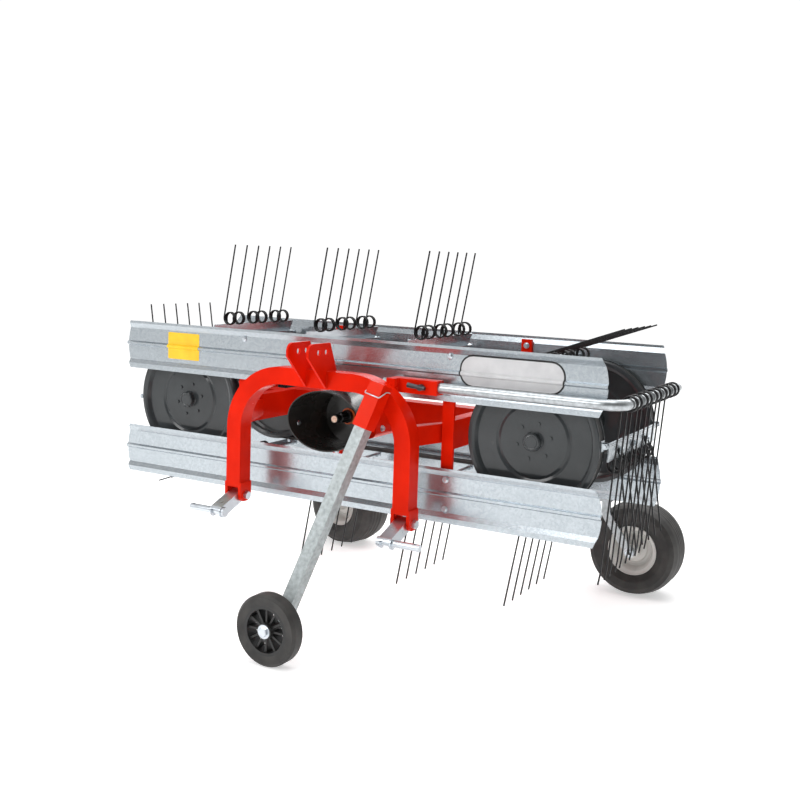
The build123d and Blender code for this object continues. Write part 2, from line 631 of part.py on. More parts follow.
half = STAND_WHEEL_WIDTH / 2
tyre_ring = turned_y([(STAND_RIM_R, -half + 3), (STAND_WHEEL_R - 8, -half), (STAND_WHEEL_R, -half + 9),
                      (STAND_WHEEL_R, half - 9), (STAND_WHEEL_R - 8, half), (STAND_RIM_R, half - 3)],
                     STAND_AXLE[0], STAND_WHEEL_Y, STAND_AXLE[2])
save("stand_wheel_tyre", tyre_ring)

wheel_place = (STAND_AXLE[0], STAND_WHEEL_Y, STAND_AXLE[2])
felloe = turned_y([(STAND_RIM_R - 9, -half + 3), (STAND_RIM_R, -half + 3), (STAND_RIM_R, half - 3),
                   (STAND_RIM_R - 9, half - 3)], *wheel_place)
boss = turned_y([(STAND_AXLE_R + RUNNING, -half), (24, -half), (24, half), (STAND_AXLE_R + RUNNING, half)], *wheel_place)
spoked = felloe + boss
for k in range(SPOKES):
    spoke = Pos(STAND_RIM_R / 2 + 8, 0, 0) * Box(STAND_RIM_R - 22, half * 1.2, 6)
    spoked += Pos(*wheel_place) * Rot(0, k * 360 / SPOKES, 0) * spoke
save("stand_wheel_rim", spoked)

# Castors: a beam behind the guards, a head at each end, an arm, a rim and a tyre on it
half = CASTOR_BEAM / 2
beam_top = CASTOR_BEAM_Z + half
carrier = block(-CASTOR_X - HEAD_R, CASTOR_X + HEAD_R, CASTOR_BEAM_Y - half, CASTOR_BEAM_Y + half,
                CASTOR_BEAM_Z - half, beam_top)
for side in (-1, 1):
    x = side * BEAM_X
    carrier += block(x - half, x + half, CASTOR_BEAM_Y - half, CASTOR_BEAM_Y + half, beam_top, beam_high)
save("castor_beam", carrier)

for side, word in ((-1, "left"), (1, "right")):
    x = side * CASTOR_X
    head = rod_z(HEAD_R, HEAD_Z[0], HEAD_Z[1], x, CASTOR_Y)
    head += block(x - HEAD_R, x + HEAD_R, CASTOR_BEAM_Y + half, CASTOR_Y, CASTOR_BEAM_Z - half, beam_top)
    head -= rod_z(SPINDLE_R + RUNNING, HEAD_Z[0] - 5, HEAD_Z[1] + 5, x, CASTOR_Y)
    save("castor_head_" + word, head)

    # the arm and the wheel, drawn about the swivel and turned to where they stand
    stands = Pos(x, CASTOR_Y, 0) * Rot(0, 0, CASTOR_TURN[side])
    arm_far = -TYRE_WIDTH / 2 - 8
    arm_near = arm_far - ARM_PLATE
    plate_low = ARM_TOP_Z - ARM_PLATE / 2
    plate_high = ARM_TOP_Z + ARM_PLATE / 2
    route = FilletPolyline((ARM_DROP, plate_high), (ARM_DROP, ARM_KNEE_Z), (CASTOR_TRAIL, TYRE_R), radius=ARM_KNEE_R)
    arm = Pos(0, arm_near, 0) * extrude(Plane.XZ * trace(route, line_width=ARM_WIDTH), amount=-ARM_PLATE)
    arm += rod_y(ARM_WIDTH / 2, arm_near, arm_far, CASTOR_TRAIL, TYRE_R)
    arm += block(-25, ARM_DROP + ARM_WIDTH / 2, arm_near, -20, plate_low, plate_high)
    arm += block(-25, 25, -20, 25, plate_low, plate_high)
    arm += rod_z(SPINDLE_R, ARM_TOP_Z, HEAD_Z[1] + 22, 0, 0)
    arm += rod_z(SPINDLE_R + 8, HEAD_Z[1] + 1, HEAD_Z[1] + 14, 0, 0)
    arm += rod_z(SPINDLE_R + 10, ARM_TOP_Z, HEAD_Z[0] - 1, 0, 0)
    arm += rod_y(CASTOR_AXLE_R, arm_near - 10, RIM_HUB + 12, CASTOR_TRAIL, TYRE_R)
    arm += rod_y(CASTOR_AXLE_R + 8, arm_far, -RIM_HUB - 1, CASTOR_TRAIL, TYRE_R)
    arm += rod_y(CASTOR_AXLE_R + 8, RIM_HUB + 1, RIM_HUB + 9, CASTOR_TRAIL, TYRE_R)
    save("castor_arm_" + word, stands * arm)

    place = (CASTOR_TRAIL, 0, TYRE_R)
    w = TYRE_WIDTH / 2
    lip = RIM_SEAT - 4
    rim_points = [(CASTOR_AXLE_R + RUNNING, -RIM_HUB), (RIM_HUB_R, -RIM_HUB), (RIM_HUB_R, -RIM_DISC - 12),
                  (RIM_R * 0.68, -RIM_DISC), (RIM_R * 0.78, -lip + 4), (RIM_R + 1, -RIM_SEAT - 4),
                  (RIM_R, -RIM_SEAT), (RIM_R, -lip), (RIM_R - 12, -lip + 6), (RIM_R - 12, lip - 6),
                  (RIM_R, lip), (RIM_R, RIM_SEAT), (RIM_R + 1, RIM_SEAT + 4), (RIM_R * 0.78, lip - 4),
                  (RIM_R * 0.68, -RIM_DISC + 7), (RIM_HUB_R, -RIM_DISC - 5), (RIM_HUB_R, RIM_HUB),
                  (CASTOR_AXLE_R + RUNNING, RIM_HUB)]
    save("castor_rim_" + word, stands * turned_y(rim_points, *place))
    tread = [(TYRE_R - 2 if k % 3 == 0 else TYRE_R, -w * 0.42 + k * w * 0.84 / 12) for k in range(13)]
    cheek = [(RIM_R, RIM_SEAT), (TYRE_R * 0.68, w - 2), (TYRE_R * 0.83, w), (TYRE_R * 0.93, w - 8),
             (TYRE_R * 0.975, w * 0.6)]
    tyre_points = ([(r, -a) for r, a in cheek] + tread + [(r, a) for r, a in reversed(cheek)]
                   + [(RIM_R, RIM_SEAT - 4), (RIM_R, -RIM_SEAT + 4)])
    save("castor_tyre_" + word, stands * turned_y(tyre_points, *place))
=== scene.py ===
import json
import math
import bmesh
import bpy
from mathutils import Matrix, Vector


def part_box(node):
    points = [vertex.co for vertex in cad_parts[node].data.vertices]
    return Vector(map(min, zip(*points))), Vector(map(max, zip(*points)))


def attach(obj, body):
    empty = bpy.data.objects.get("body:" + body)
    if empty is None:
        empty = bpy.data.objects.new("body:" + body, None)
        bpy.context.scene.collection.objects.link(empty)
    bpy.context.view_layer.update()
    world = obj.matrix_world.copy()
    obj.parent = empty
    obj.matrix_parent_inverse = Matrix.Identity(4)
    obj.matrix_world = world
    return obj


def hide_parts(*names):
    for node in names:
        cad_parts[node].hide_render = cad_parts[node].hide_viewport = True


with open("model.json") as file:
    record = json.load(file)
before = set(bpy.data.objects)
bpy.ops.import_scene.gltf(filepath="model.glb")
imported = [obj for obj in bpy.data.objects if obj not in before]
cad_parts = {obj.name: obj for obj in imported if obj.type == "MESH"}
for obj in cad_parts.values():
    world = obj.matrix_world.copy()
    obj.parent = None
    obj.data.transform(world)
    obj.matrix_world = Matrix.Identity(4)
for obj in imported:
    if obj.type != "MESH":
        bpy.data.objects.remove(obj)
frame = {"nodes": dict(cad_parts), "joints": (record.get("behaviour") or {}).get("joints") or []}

for spare in ("Cube", "Light", "Camera"):
    if spare in bpy.data.objects:
        bpy.data.objects.remove(bpy.data.objects[spare])
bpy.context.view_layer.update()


# Hitch arch: a square steel tube bent to an inverted U, with a fork welded to each foot and two
# plate ears for the top link, powder-coated orange-red. It goes on the jig first, so every place
# below is measured from its middle, from the front guards' edge and from the ground.
arch_low, arch_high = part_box("hitch_arch")
MIDDLE_X = (arch_low.x + arch_high.x) / 2
EDGE_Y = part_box("guard_front_upper")[0].y
ARCH_FRONT = -0.1326        # the tube's front and back faces, and its top
ARCH_BACK = -0.0766
ARCH_TOP = 0.835
EAR_X = 0.038               # an ear's middle, half its plate, and its foot on the tube's face
EAR_HALF = 0.0045
EAR_FOOT = 0.782
EAR_STOP = 0.003            # how far a seam stops short of the tube's edge
LEG_X = 0.321               # a leg's middle, and half the width and the top of the fork on it
FORK_HALF = 0.0285
FORK_TOP = 0.4365
FORK_STOP = 0.002
BRACE_HALF = 0.020          # a brace's seam on the back of the leg
BRACE_LOW = 0.628
BRACE_HIGH = 0.686
BEAD = 0.0022               # a weld bead's radius, and the step of its ripple
RIPPLE = 0.004


def place(x, y, z):
    """A point given from the hitch's middle, the front guards' edge and the ground."""
    return Vector((MIDDLE_X + x, EDGE_Y + y, z))


def surface(name, colour, metallic, roughness):
    """One finish: its material, the material's tree of nodes, and the shader in it."""
    made = bpy.data.materials.new(name)
    made.use_nodes = True
    shader = made.node_tree.nodes["Principled BSDF"]
    shader.inputs["Base Color"].default_value = (*colour, 1)
    shader.inputs["Metallic"].default_value = metallic
    shader.inputs["Roughness"].default_value = roughness
    return made, made.node_tree, shader


def shader_node(tree, kind, **values):
    """A node with the values given for its sockets or, failing that, for its settings."""
    made = tree.nodes.new(kind)
    for key, value in values.items():
        label = key.replace("_", " ")
        if label in made.inputs:
            made.inputs[label].default_value = value
        else:
            setattr(made, key, value)
    return made


def patches(tree, size, detail=4.0, stretch=(1, 1, 1)):
    """Soft cloudy values over the piece, their patches about size metres across."""
    where = shader_node(tree, "ShaderNodeTexCoord")
    scaled = shader_node(tree, "ShaderNodeMapping", Scale=stretch)
    noise = shader_node(tree, "ShaderNodeTexNoise", Scale=1 / size, Detail=detail)
    tree.links.new(where.outputs["Object"], scaled.inputs["Vector"])
    tree.links.new(scaled.outputs["Vector"], noise.inputs["Vector"])
    return noise.outputs["Fac"]


def mottle(tree, shader, value, dark, light, low=0.35, high=0.65):
    """Colours the finish between two colours, following the value."""
    ramp = shader_node(tree, "ShaderNodeValToRGB")
    ramp.color_ramp.elements[0].position = low
    ramp.color_ramp.elements[1].position = high
    ramp.color_ramp.elements[0].color = (*dark, 1)
    ramp.color_ramp.elements[1].color = (*light, 1)
    tree.links.new(value, ramp.inputs["Fac"])
    tree.links.new(ramp.outputs["Color"], shader.inputs["Base Color"])


def uneven_gloss(tree, shader, value, low, high):
    """Spreads the roughness between two figures, following the value."""
    spread = shader_node(tree, "ShaderNodeMapRange", To_Min=low, To_Max=high)
    tree.links.new(value, spread.inputs["Value"])
    tree.links.new(spread.outputs["Result"], shader.inputs["Roughness"])


def grain_relief(tree, shader, value, strength, depth):
    """Raises the surface by the value, depth metres at most."""
    bump = shader_node(tree, "ShaderNodeBump", Strength=strength, Distance=depth)
    tree.links.new(value, bump.inputs["Height"])
    tree.links.new(bump.outputs["Normal"], shader.inputs["Normal"])


def powder_coat(name, dark, light, roughness, gloss, glare=(1.0, 1.0, 1.0)):
    """Powder coat: nearly one colour, its gloss a little uneven, with a fine orange peel."""
    made, tree, shader = surface(name, light, 0.0, roughness)
    shader.inputs["Coat Weight"].default_value = gloss
    shader.inputs["Coat Roughness"].default_value = 0.12
    shader.inputs["Specular IOR Level"].default_value = 0.14
    shader.inputs["Specular Tint"].default_value = (*glare, 1)
    broad = patches(tree, 0.12)
    mottle(tree, shader, broad, dark, light)
    uneven_gloss(tree, shader, broad, roughness - 0.06, roughness + 0.08)
    grain_relief(tree, shader, patches(tree, 0.012, 1.0), 0.10, 0.0004)
    return made


def dress(material, *names):
    """Gives CAD pieces their finish."""
    for name in names:
        mesh = frame["nodes"][name].data
        mesh.materials.clear()
        mesh.materials.append(material)


def bent_wire(name, runs, thickness, material, body, swell=(1.0, 1.0)):
    """Round wire along lines of points; swell is the share of its radius at every other point."""
    line = bpy.data.curves.new(name, "CURVE")
    line.dimensions = "3D"
    line.bevel_depth = thickness / 2
    line.bevel_resolution = 1
    line.use_fill_caps = True
    for points in runs:
        wire = line.splines.new("POLY")
        wire.points.add(len(points) - 1)
        for k, (spot, point) in enumerate(zip(wire.points, points)):
            spot.co = (*point, 1)
            spot.radius = swell[k % 2]
    made = bpy.data.objects.new(name, line)
    bpy.context.scene.collection.objects.link(made)
    line.materials.append(material)
    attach(made, body)
    return made


red_coat = powder_coat("orange red powder coat", (0.64, 0.010, 0.001), (0.76, 0.014, 0.002), 0.24, 0.02,
                       (1.0, 0.35, 0.2))
dress(red_coat, "hitch_arch", "top_link_ears", "braces")


def weld_beads(name, seams):
    """Rippled fillets of weld along seams, under the red coat of what they join."""
    beads = []
    for seam in seams:
        steps = []
        for start, end in zip(seam, seam[1:]):
            count = max(2, round((end - start).length / RIPPLE))
            steps += [start.lerp(end, k / count) for k in range(count)]
        beads.append(steps + [seam[-1]])
    made = bent_wire(name, beads, 2 * BEAD, red_coat, "frame", (0.8, 1.15))


ear_seams = []
for middle in (-EAR_X, EAR_X):
    for x in (middle - EAR_HALF, middle + EAR_HALF):
        ear_seams.append([place(x, ARCH_FRONT, EAR_FOOT), place(x, ARCH_FRONT, ARCH_TOP),
                          place(x, ARCH_BACK - EAR_STOP, ARCH_TOP)])
weld_beads("ear_welds", ear_seams)
fork_seams = []
for middle in (-LEG_X, LEG_X):
    for x in (middle - FORK_HALF, middle + FORK_HALF):
        fork_seams.append([place(x, ARCH_FRONT + FORK_STOP, FORK_TOP),
                           place(x, ARCH_BACK - FORK_STOP, FORK_TOP)])
weld_beads("foot_welds", fork_seams)
brace_seams = []
for side in (-1, 1):
    for x in (LEG_X - BRACE_HALF, LEG_X + BRACE_HALF):
        brace_seams.append([place(side * x, ARCH_BACK, BRACE_LOW), place(side * x, ARCH_BACK, BRACE_HIGH)])
weld_beads("brace_welds", brace_seams)

# Main frame: two rectangular side beams on a cross beam, flats that carry the guards, and the arms
# that hold the pulleys' bearing tubes. Mild steel, sawn and welded, in the same red coat; the
# pulley shafts are turned bar.
BEAM_INNER = 0.378          # a side beam's faces, from the middle, and its underside and top
BEAM_OUTER = 0.418
BEAM_LOW = 0.613
BEAM_HIGH = 0.701
BEAM_FRONT = 0.024          # the seams on the guard flats at its front end, set in from its edges
FLAT_SET_IN = 0.002
CROSS_FRONT = 0.287         # the cross beam's faces, and the height of the arms' ends
CROSS_BACK = 0.347
ARM_LOW = 0.634
ARM_HIGH = 0.690
dress(red_coat, "side_beams", "cross_beam", "guard_posts", "end_arms", "bearing_tubes")
turned_steel, tree, shader = surface("turned steel", (0.55, 0.55, 0.56), 1.0, 0.3)
uneven_gloss(tree, shader, patches(tree, 0.01, 2.0, (1, 12, 1)), 0.22, 0.42)
dress(turned_steel, "pulley_shafts")
beam_seams = []
for side in (-1, 1):
    for y in (CROSS_FRONT, CROSS_BACK):
        beam_seams.append([place(side * BEAM_INNER, y, BEAM_LOW), place(side * BEAM_INNER, y, BEAM_HIGH)])
        beam_seams.append([place(side * BEAM_OUTER, y, ARM_LOW), place(side * BEAM_OUTER, y, ARM_HIGH)])
    for x in (BEAM_INNER + FLAT_SET_IN, BEAM_OUTER - FLAT_SET_IN):
        beam_seams.append([place(side * x, BEAM_FRONT, BEAM_LOW), place(side * x, BEAM_FRONT, BEAM_HIGH)])
weld_beads("frame_welds", beam_seams)

# Gearbox: a cast iron housing on the cross beam, painted with the frame. Its splined input shaft of
# blackened steel comes out through an orange rubber seal into a deep pressed guard, both bolted on
# with zinc-plated bolts, and the tractor's drive shaft slides over it.
dress(red_coat, "gearbox")
orange_seal, tree, shader = surface("orange seal rubber", (0.90, 0.15, 0.02), 0.0, 0.45)
mottle(tree, shader, patches(tree, 0.01), (0.85, 0.12, 0.015), (0.95, 0.18, 0.03))
dress(orange_seal, "shaft_seal")
shaft_low, shaft_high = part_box("pto_shaft")
SHAFT_Z = (shaft_low.z + shaft_high.z) / 2
SHAFT_TIP = shaft_low.y - EDGE_Y
SHAFT_ROOT = shaft_high.y - EDGE_Y
SPLINES = 6
SPLINE_CREST = 0.01745      # radius over the splines, and in the flats between them
SPLINE_FLAT = 0.0150
TIP_CREST = 0.0150          # radius of the worn end before the locking groove, and of its chamfer
TIP_FLAT = 0.0145
TIP_CHAMFER = 0.0125
GROOVE_CREST = 0.0122
GROOVE_FLAT = 0.0120
SHOULDER = 0.0215           # radius and length of the plain shoulder at the root
SHOULDER_LONG = 0.027
CAP = 0.0118                # radius of the painted end
BOX_HALF = 0.075            # gearbox: half its width, and where its side bolts sit
BOX_BOLT_RISE = 0.045
BOX_BOLT_DEPTHS = (0.160, 0.250)
FILLER = (0.030, 0.200, 0.7445)
GUARD_FLOOR_BOLT = (0.041, 0.0655, 0.668)
GUARD_WALL_BOLT = (-0.1255, -0.045, 0.645)


def fitted(name, builder, material, body, smooth_under=35):
    """Closes a mesh into a named piece that rides on a body; sharper folds stay crisp."""
    bmesh.ops.recalc_face_normals(builder, faces=builder.faces)
    data = bpy.data.meshes.new(name)
    builder.to_mesh(data)
    builder.free()
    data.shade_smooth()
    data.set_sharp_from_angle(angle=math.radians(smooth_under))
    made = bpy.data.objects.new(name, data)
    bpy.context.scene.collection.objects.link(made)
    data.materials.append(material)
    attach(made, body)
    return made


def skin(builder, rings):
    """Skins closed rings of points, one after the other, and caps both ends."""
    rows = [[builder.verts.new(point) for point in ring] for ring in rings]
    for near, far in zip(rows, rows[1:]):
        for k in range(len(near)):
            following = (k + 1) % len(near)
            builder.faces.new((near[k], near[following], far[following], far[k]))
    builder.faces.new(rows[0])
    builder.faces.new(rows[-1])


def round_bar(builder, start, end, radius, sides=16, taper=1.0):
    """A round bar from one point to another; taper is the share of its radius at the end."""
    along = (end - start).normalized()
    across = along.orthogonal().normalized()
    other = along.cross(across)
    rings = []
    for spot, size in ((start, radius), (end, radius * taper)):
        turns = [math.tau * k / sides for k in range(sides)]
        rings.append([spot + size * (across * math.cos(turn) + other * math.sin(turn)) for turn in turns])
    skin(builder, rings)


def hex_bolt(builder, seat, outwards, across=0.0085, height=0.007, washer=0.011):
    """A bolt's chamfered head on a washer; seat is where the washer lies."""
    outwards = outwards.normalized()
    top = seat + outwards * 0.0018
    chamfer = top + outwards * height * 0.8
    round_bar(builder, seat, top, washer, 20)
    round_bar(builder, top, chamfer, across, 6)
    round_bar(builder, chamfer, top + outwards * height, across, 6, 0.86)


def spline_section(y, crest, flat):
    """The shaft's section at a depth: its crests and the flats between them."""
    ring = []
    for tooth in range(SPLINES):
        for share, radius in ((-0.30, flat), (-0.20, crest), (0.20, crest), (0.30, flat)):
            angle = (tooth + share) * math.tau / SPLINES
            ring.append(place(radius * math.cos(angle), y, SHAFT_Z + radius * math.sin(angle)))
    return ring


shaft = bmesh.new()
skin(shaft, [
    spline_section(SHAFT_TIP, TIP_CHAMFER, TIP_CHAMFER),
    spline_section(SHAFT_TIP + 0.002, TIP_CREST, TIP_FLAT),
    spline_section(SHAFT_TIP + 0.018, TIP_CREST, TIP_FLAT),
    spline_section(SHAFT_TIP + 0.020, GROOVE_CREST, GROOVE_FLAT),
    spline_section(SHAFT_TIP + 0.028, GROOVE_CREST, GROOVE_FLAT),
    spline_section(SHAFT_TIP + 0.030, SPLINE_CREST, SPLINE_FLAT),
    spline_section(SHAFT_ROOT - SHOULDER_LONG - 0.003, SPLINE_CREST, SPLINE_FLAT),
    spline_section(SHAFT_ROOT - SHOULDER_LONG - 0.001, SPLINE_CREST, SPLINE_CREST),
    spline_section(SHAFT_ROOT - SHOULDER_LONG, SHOULDER - 0.001, SHOULDER - 0.001),
    spline_section(SHAFT_ROOT - SHOULDER_LONG + 0.001, SHOULDER, SHOULDER),
    spline_section(SHAFT_ROOT, SHOULDER, SHOULDER),
])
black_steel, tree, shader = surface("blackened steel", (0.02, 0.02, 0.02), 0.6, 0.35)
uneven_gloss(tree, shader, patches(tree, 0.008), 0.25, 0.45)
splined_shaft = fitted("splined_shaft", shaft, black_steel, "frame")
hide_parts("pto_shaft")

black_guard = powder_coat("black guard paint", (0.016, 0.015, 0.014), (0.030, 0.028, 0.025), 0.26, 0.4)
dress(black_guard, "pto_guard")
end_cap = bmesh.new()
round_bar(end_cap, place(0, SHAFT_TIP + 0.003, SHAFT_Z), place(0, SHAFT_TIP - 0.0002, SHAFT_Z), CAP, 24, 0.92)
primer, tree, shader = surface("shaft end primer", (0.72, 0.47, 0.34), 0.0, 0.5)
mottle(tree, shader, patches(tree, 0.006), (0.62, 0.36, 0.25), (0.80, 0.60, 0.47))
fitted("shaft_end", end_cap, primer, "frame")

bright_zinc, tree, shader = surface("bright zinc plate", (0.60, 0.64, 0.68), 1.0, 0.3)
uneven_gloss(tree, shader, patches(tree, 0.02), 0.2, 0.42)
drive_bolts = bmesh.new()
hex_bolt(drive_bolts, place(*GUARD_FLOOR_BOLT), Vector((0, -1, 0)))
hex_bolt(drive_bolts, place(*GUARD_WALL_BOLT), Vector((1, -0.3, 0)))
for side in (-1, 1):
    for rise in (-BOX_BOLT_RISE, BOX_BOLT_RISE):
        for depth in BOX_BOLT_DEPTHS:
            hex_bolt(drive_bolts, place(side * BOX_HALF, depth, SHAFT_Z + rise), Vector((side, 0, 0)))
hex_bolt(drive_bolts, place(*FILLER), Vector((0, 0, 1)), across=0.0135, height=0.012, washer=0.016)
drive_bolts = fitted("drive_bolts", drive_bolts, bright_zinc, "frame")

# Pulleys: four dished steel pressings in dark grey paint, bolted to hubs on two through shafts.
# A pressed cap closes each hub on the outside, flush with the shaft's end.
PULLEY_REACH = 0.671        # from the machine's middle to a pulley shaft
PULLEY_HEIGHT = 0.662
GUARD_TO_GUARD = 0.635      # between the edges of the front and the rear guards
CAP_BACK = 0.0290           # a hub cap's back and face, in from the guard's edge, and its radius
CAP_FACE = 0.0272
CAP_R = 0.0198
grey_coat = powder_coat("dark grey pulley paint", (0.032, 0.036, 0.038), (0.044, 0.049, 0.052), 0.24, 0.5)
dress(grey_coat, "front_pulleys", "rear_pulleys")
hub_caps = bmesh.new()
for x in (-PULLEY_REACH, PULLEY_REACH):
    for face, back in ((CAP_FACE, CAP_BACK), (GUARD_TO_GUARD - CAP_FACE, GUARD_TO_GUARD - CAP_BACK)):
        round_bar(hub_caps, place(x, back, PULLEY_HEIGHT), place(x, face, PULLEY_HEIGHT), CAP_R, 32, 0.95)
hub_caps = fitted("hub_caps", hub_caps, grey_coat, "frame")

# Belts: two endless flat belts of black rubber with a cloth core, run round the pulleys' rims under
# tension. The tine bars' hinge feet are bolted through them.
belt_rubber, tree, shader = surface("belt rubber", (0.02, 0.02, 0.021), 0.0, 0.75)
mottle(tree, shader, patches(tree, 0.03), (0.014, 0.014, 0.015), (0.035, 0.034, 0.032))
grain_relief(tree, shader, patches(tree, 0.002, 2.0), 0.3, 0.0003)
dress(belt_rubber, "front_belt", "rear_belt")

# Tine bars: ten folded leaves of galvanised sheet, each hinged on a rod in two feet on the belts.
# Three double springs of black wire are clamped to each leaf, with a coil and two tines apiece. The
# leaves stand up on the straight runs and fold back round the pulleys.
BARS = 10
BELT_MIDDLE = 0.205         # round a pulley: radius of the belt's middle, and of its outside
BELT_OUTSIDE = 0.210
BELT_LINE = 0.058           # middle of a belt, in from the edge of its guard
PITCH = (4 * PULLEY_REACH + math.tau * BELT_MIDDLE) / BARS
THIRD_BAR = 0.208           # how far the third bar stands to the left of the machine's middle
FIRST_BAR = PULLEY_REACH + THIRD_BAR - 2 * PITCH
STANDING = math.radians(69.4)   # a leaf's swing on a straight run, soon after a pulley, and round it
RISING = math.radians(9.4)
FOLDED = math.radians(-4.6)
HINGE_RISE = 0.014          # the hinge rod over the belt, its radius, and its end from the guard
HINGE_ROD = 0.006
HINGE_END = 0.040
FOOT_HALF = 0.014           # a foot on the belt: half its length along the rod, and half across
FOOT_REACH = 0.016
FOOT_LOW = -0.014
FOOT_TOP = -0.009
LUG_REACH = 0.008           # a foot's two lugs round the rod
LUG_TOP = 0.007
LUG = 0.005
LEAF = 0.004                # the leaf: its sheet, its end from the guard, and its folded lip
LEAF_END = 0.082
LIP_DEEP = -0.018
LIP_FROM = 0.010
LIP_TO = 0.014
BAR_REACH = 0.0736          # from the hinge to the middle of the coils
LEAF_STOP = BAR_REACH - 0.0218
COIL = 0.02175              # radius of the wire's middle line in a coil
COIL_STEPS = 42
WIRE = 0.0055
TINE = 0.268                # a tine from the coil to its tip, and its lean from the leaf
TINE_LEAN = math.radians(10.6)
COIL_TURN = math.tau * 3 + math.radians(12.9)
SPRING_LEG = ((0.034, 0.0052), (0.029, 0.0048), (0.025, 0.0048))    # along and above the leaf
FIRST_TINE = 0.14875        # the first tine from the guards' edge, and the step to the next
TINE_STEP = 0.0675
CLIP_FROM = 0.016           # the clip over a spring's leg: its length, height and half its width
CLIP_TO = 0.034
CLIP_LOW = 0.0075
CLIP_TOP = 0.0105
CLIP_HALF = 0.011
CLIP_BOLT = 0.025           # its bolt: place along the leaf, radius and top
CLIP_BOLT_R = 0.0075
CLIP_BOLT_TOP = 0.0165
galvanised, tree, shader = surface("galvanised sheet", (0.44, 0.48, 0.51), 0.85, 0.25)
spangle = shader_node(tree, "ShaderNodeTexVoronoi", Scale=150.0)
where = shader_node(tree, "ShaderNodeTexCoord")
tree.links.new(where.outputs["Object"], spangle.inputs["Vector"])
mottle(tree, shader, spangle.outputs["Color"], (0.40, 0.44, 0.47), (0.47, 0.51, 0.54), 0.2, 0.8)
uneven_gloss(tree, shader, patches(tree, 0.09, 3.0, (1, 1, 4)), 0.19, 0.30)
grain_relief(tree, shader, patches(tree, 0.25, 1.0), 0.12, 0.004)
black_wire, tree, shader = surface("black spring wire", (0.006, 0.006, 0.007), 0.0, 0.4)
shader.inputs["Specular IOR Level"].default_value = 0.3
uneven_gloss(tree, shader, patches(tree, 0.02), 0.30, 0.46)


def on_belt(travel):
    """Where a bar rides: x, z and the angle outwards from straight up, towards the comb."""
    half_turn = math.pi * BELT_MIDDLE
    if travel < 2 * PULLEY_REACH:
        return PULLEY_REACH - travel, PULLEY_HEIGHT + BELT_OUTSIDE, 0.0
    travel -= 2 * PULLEY_REACH
    if travel < half_turn:
        angle = -travel / BELT_MIDDLE
        x = BELT_OUTSIDE * math.sin(angle) - PULLEY_REACH
        return x, PULLEY_HEIGHT + BELT_OUTSIDE * math.cos(angle), angle
    travel -= half_turn
    if travel < 2 * PULLEY_REACH:
        return travel - PULLEY_REACH, PULLEY_HEIGHT - BELT_OUTSIDE, math.pi
    angle = math.pi - (travel - 2 * PULLEY_REACH) / BELT_MIDDLE
    x = BELT_OUTSIDE * math.sin(angle) + PULLEY_REACH
    return x, PULLEY_HEIGHT + BELT_OUTSIDE * math.cos(angle), angle


def swing_of(travel, outwards):
    """How far a leaf is swung up about its hinge, from lying along the belt."""
    if outwards not in (0.0, math.pi):
        return FOLDED
    just_past_a_pulley = travel % (5 * PITCH) < 0.6 * PITCH
    return RISING if just_past_a_pulley else STANDING


def carrier(travel, swing):
    """Gives the function that puts a point, along, above and across a leaf, in its place."""
    belt_x, belt_z, outwards = on_belt(travel)
    hinge_x = belt_x + HINGE_RISE * math.sin(outwards)
    hinge_z = belt_z + HINGE_RISE * math.cos(outwards)

    def carried(along, above, y):
        """Swings the point about the hinge, then turns it with the belt."""
        trail = along * math.cos(swing) - above * math.sin(swing)
        rise = along * math.sin(swing) + above * math.cos(swing)
        return place(hinge_x + trail * math.cos(outwards) + rise * math.sin(outwards), y,
                     hinge_z - trail * math.sin(outwards) + rise * math.cos(outwards))

    return carried


def flat_bar(builder, low, high, carried):
    """A square-edged bar between two corners, each point carried to its place."""
    corners = [(low[0], low[1]), (high[0], low[1]), (high[0], high[1]), (low[0], high[1])]
    skin(builder, [[carried(along, above, y) for along, above in corners] for y in (low[2], high[2])])


def half_spring(y, inwards):
    """One tine, its coil and its leg to the clip, as points along, above and across the leaf."""
    start = TINE_LEAN + math.pi / 2
    leave = Vector((BAR_REACH + COIL * math.cos(start), COIL * math.sin(start)))
    tip = leave + TINE * Vector((math.cos(TINE_LEAN), math.sin(TINE_LEAN)))
    points = [(*tip, y), (*leave.lerp(tip, 0.06), y)]
    for k in range(COIL_STEPS + 1):
        angle = start + COIL_TURN * k / COIL_STEPS
        points.append((BAR_REACH + COIL * math.cos(angle), COIL * math.sin(angle),
                       y + inwards * WIRE * 3 * k / COIL_STEPS))
    foot = y + inwards * (WIRE * 3 + 0.001)
    ends = (foot, foot, foot + inwards * 0.003)
    return points + [(*leg, end) for leg, end in zip(SPRING_LEG, ends)]


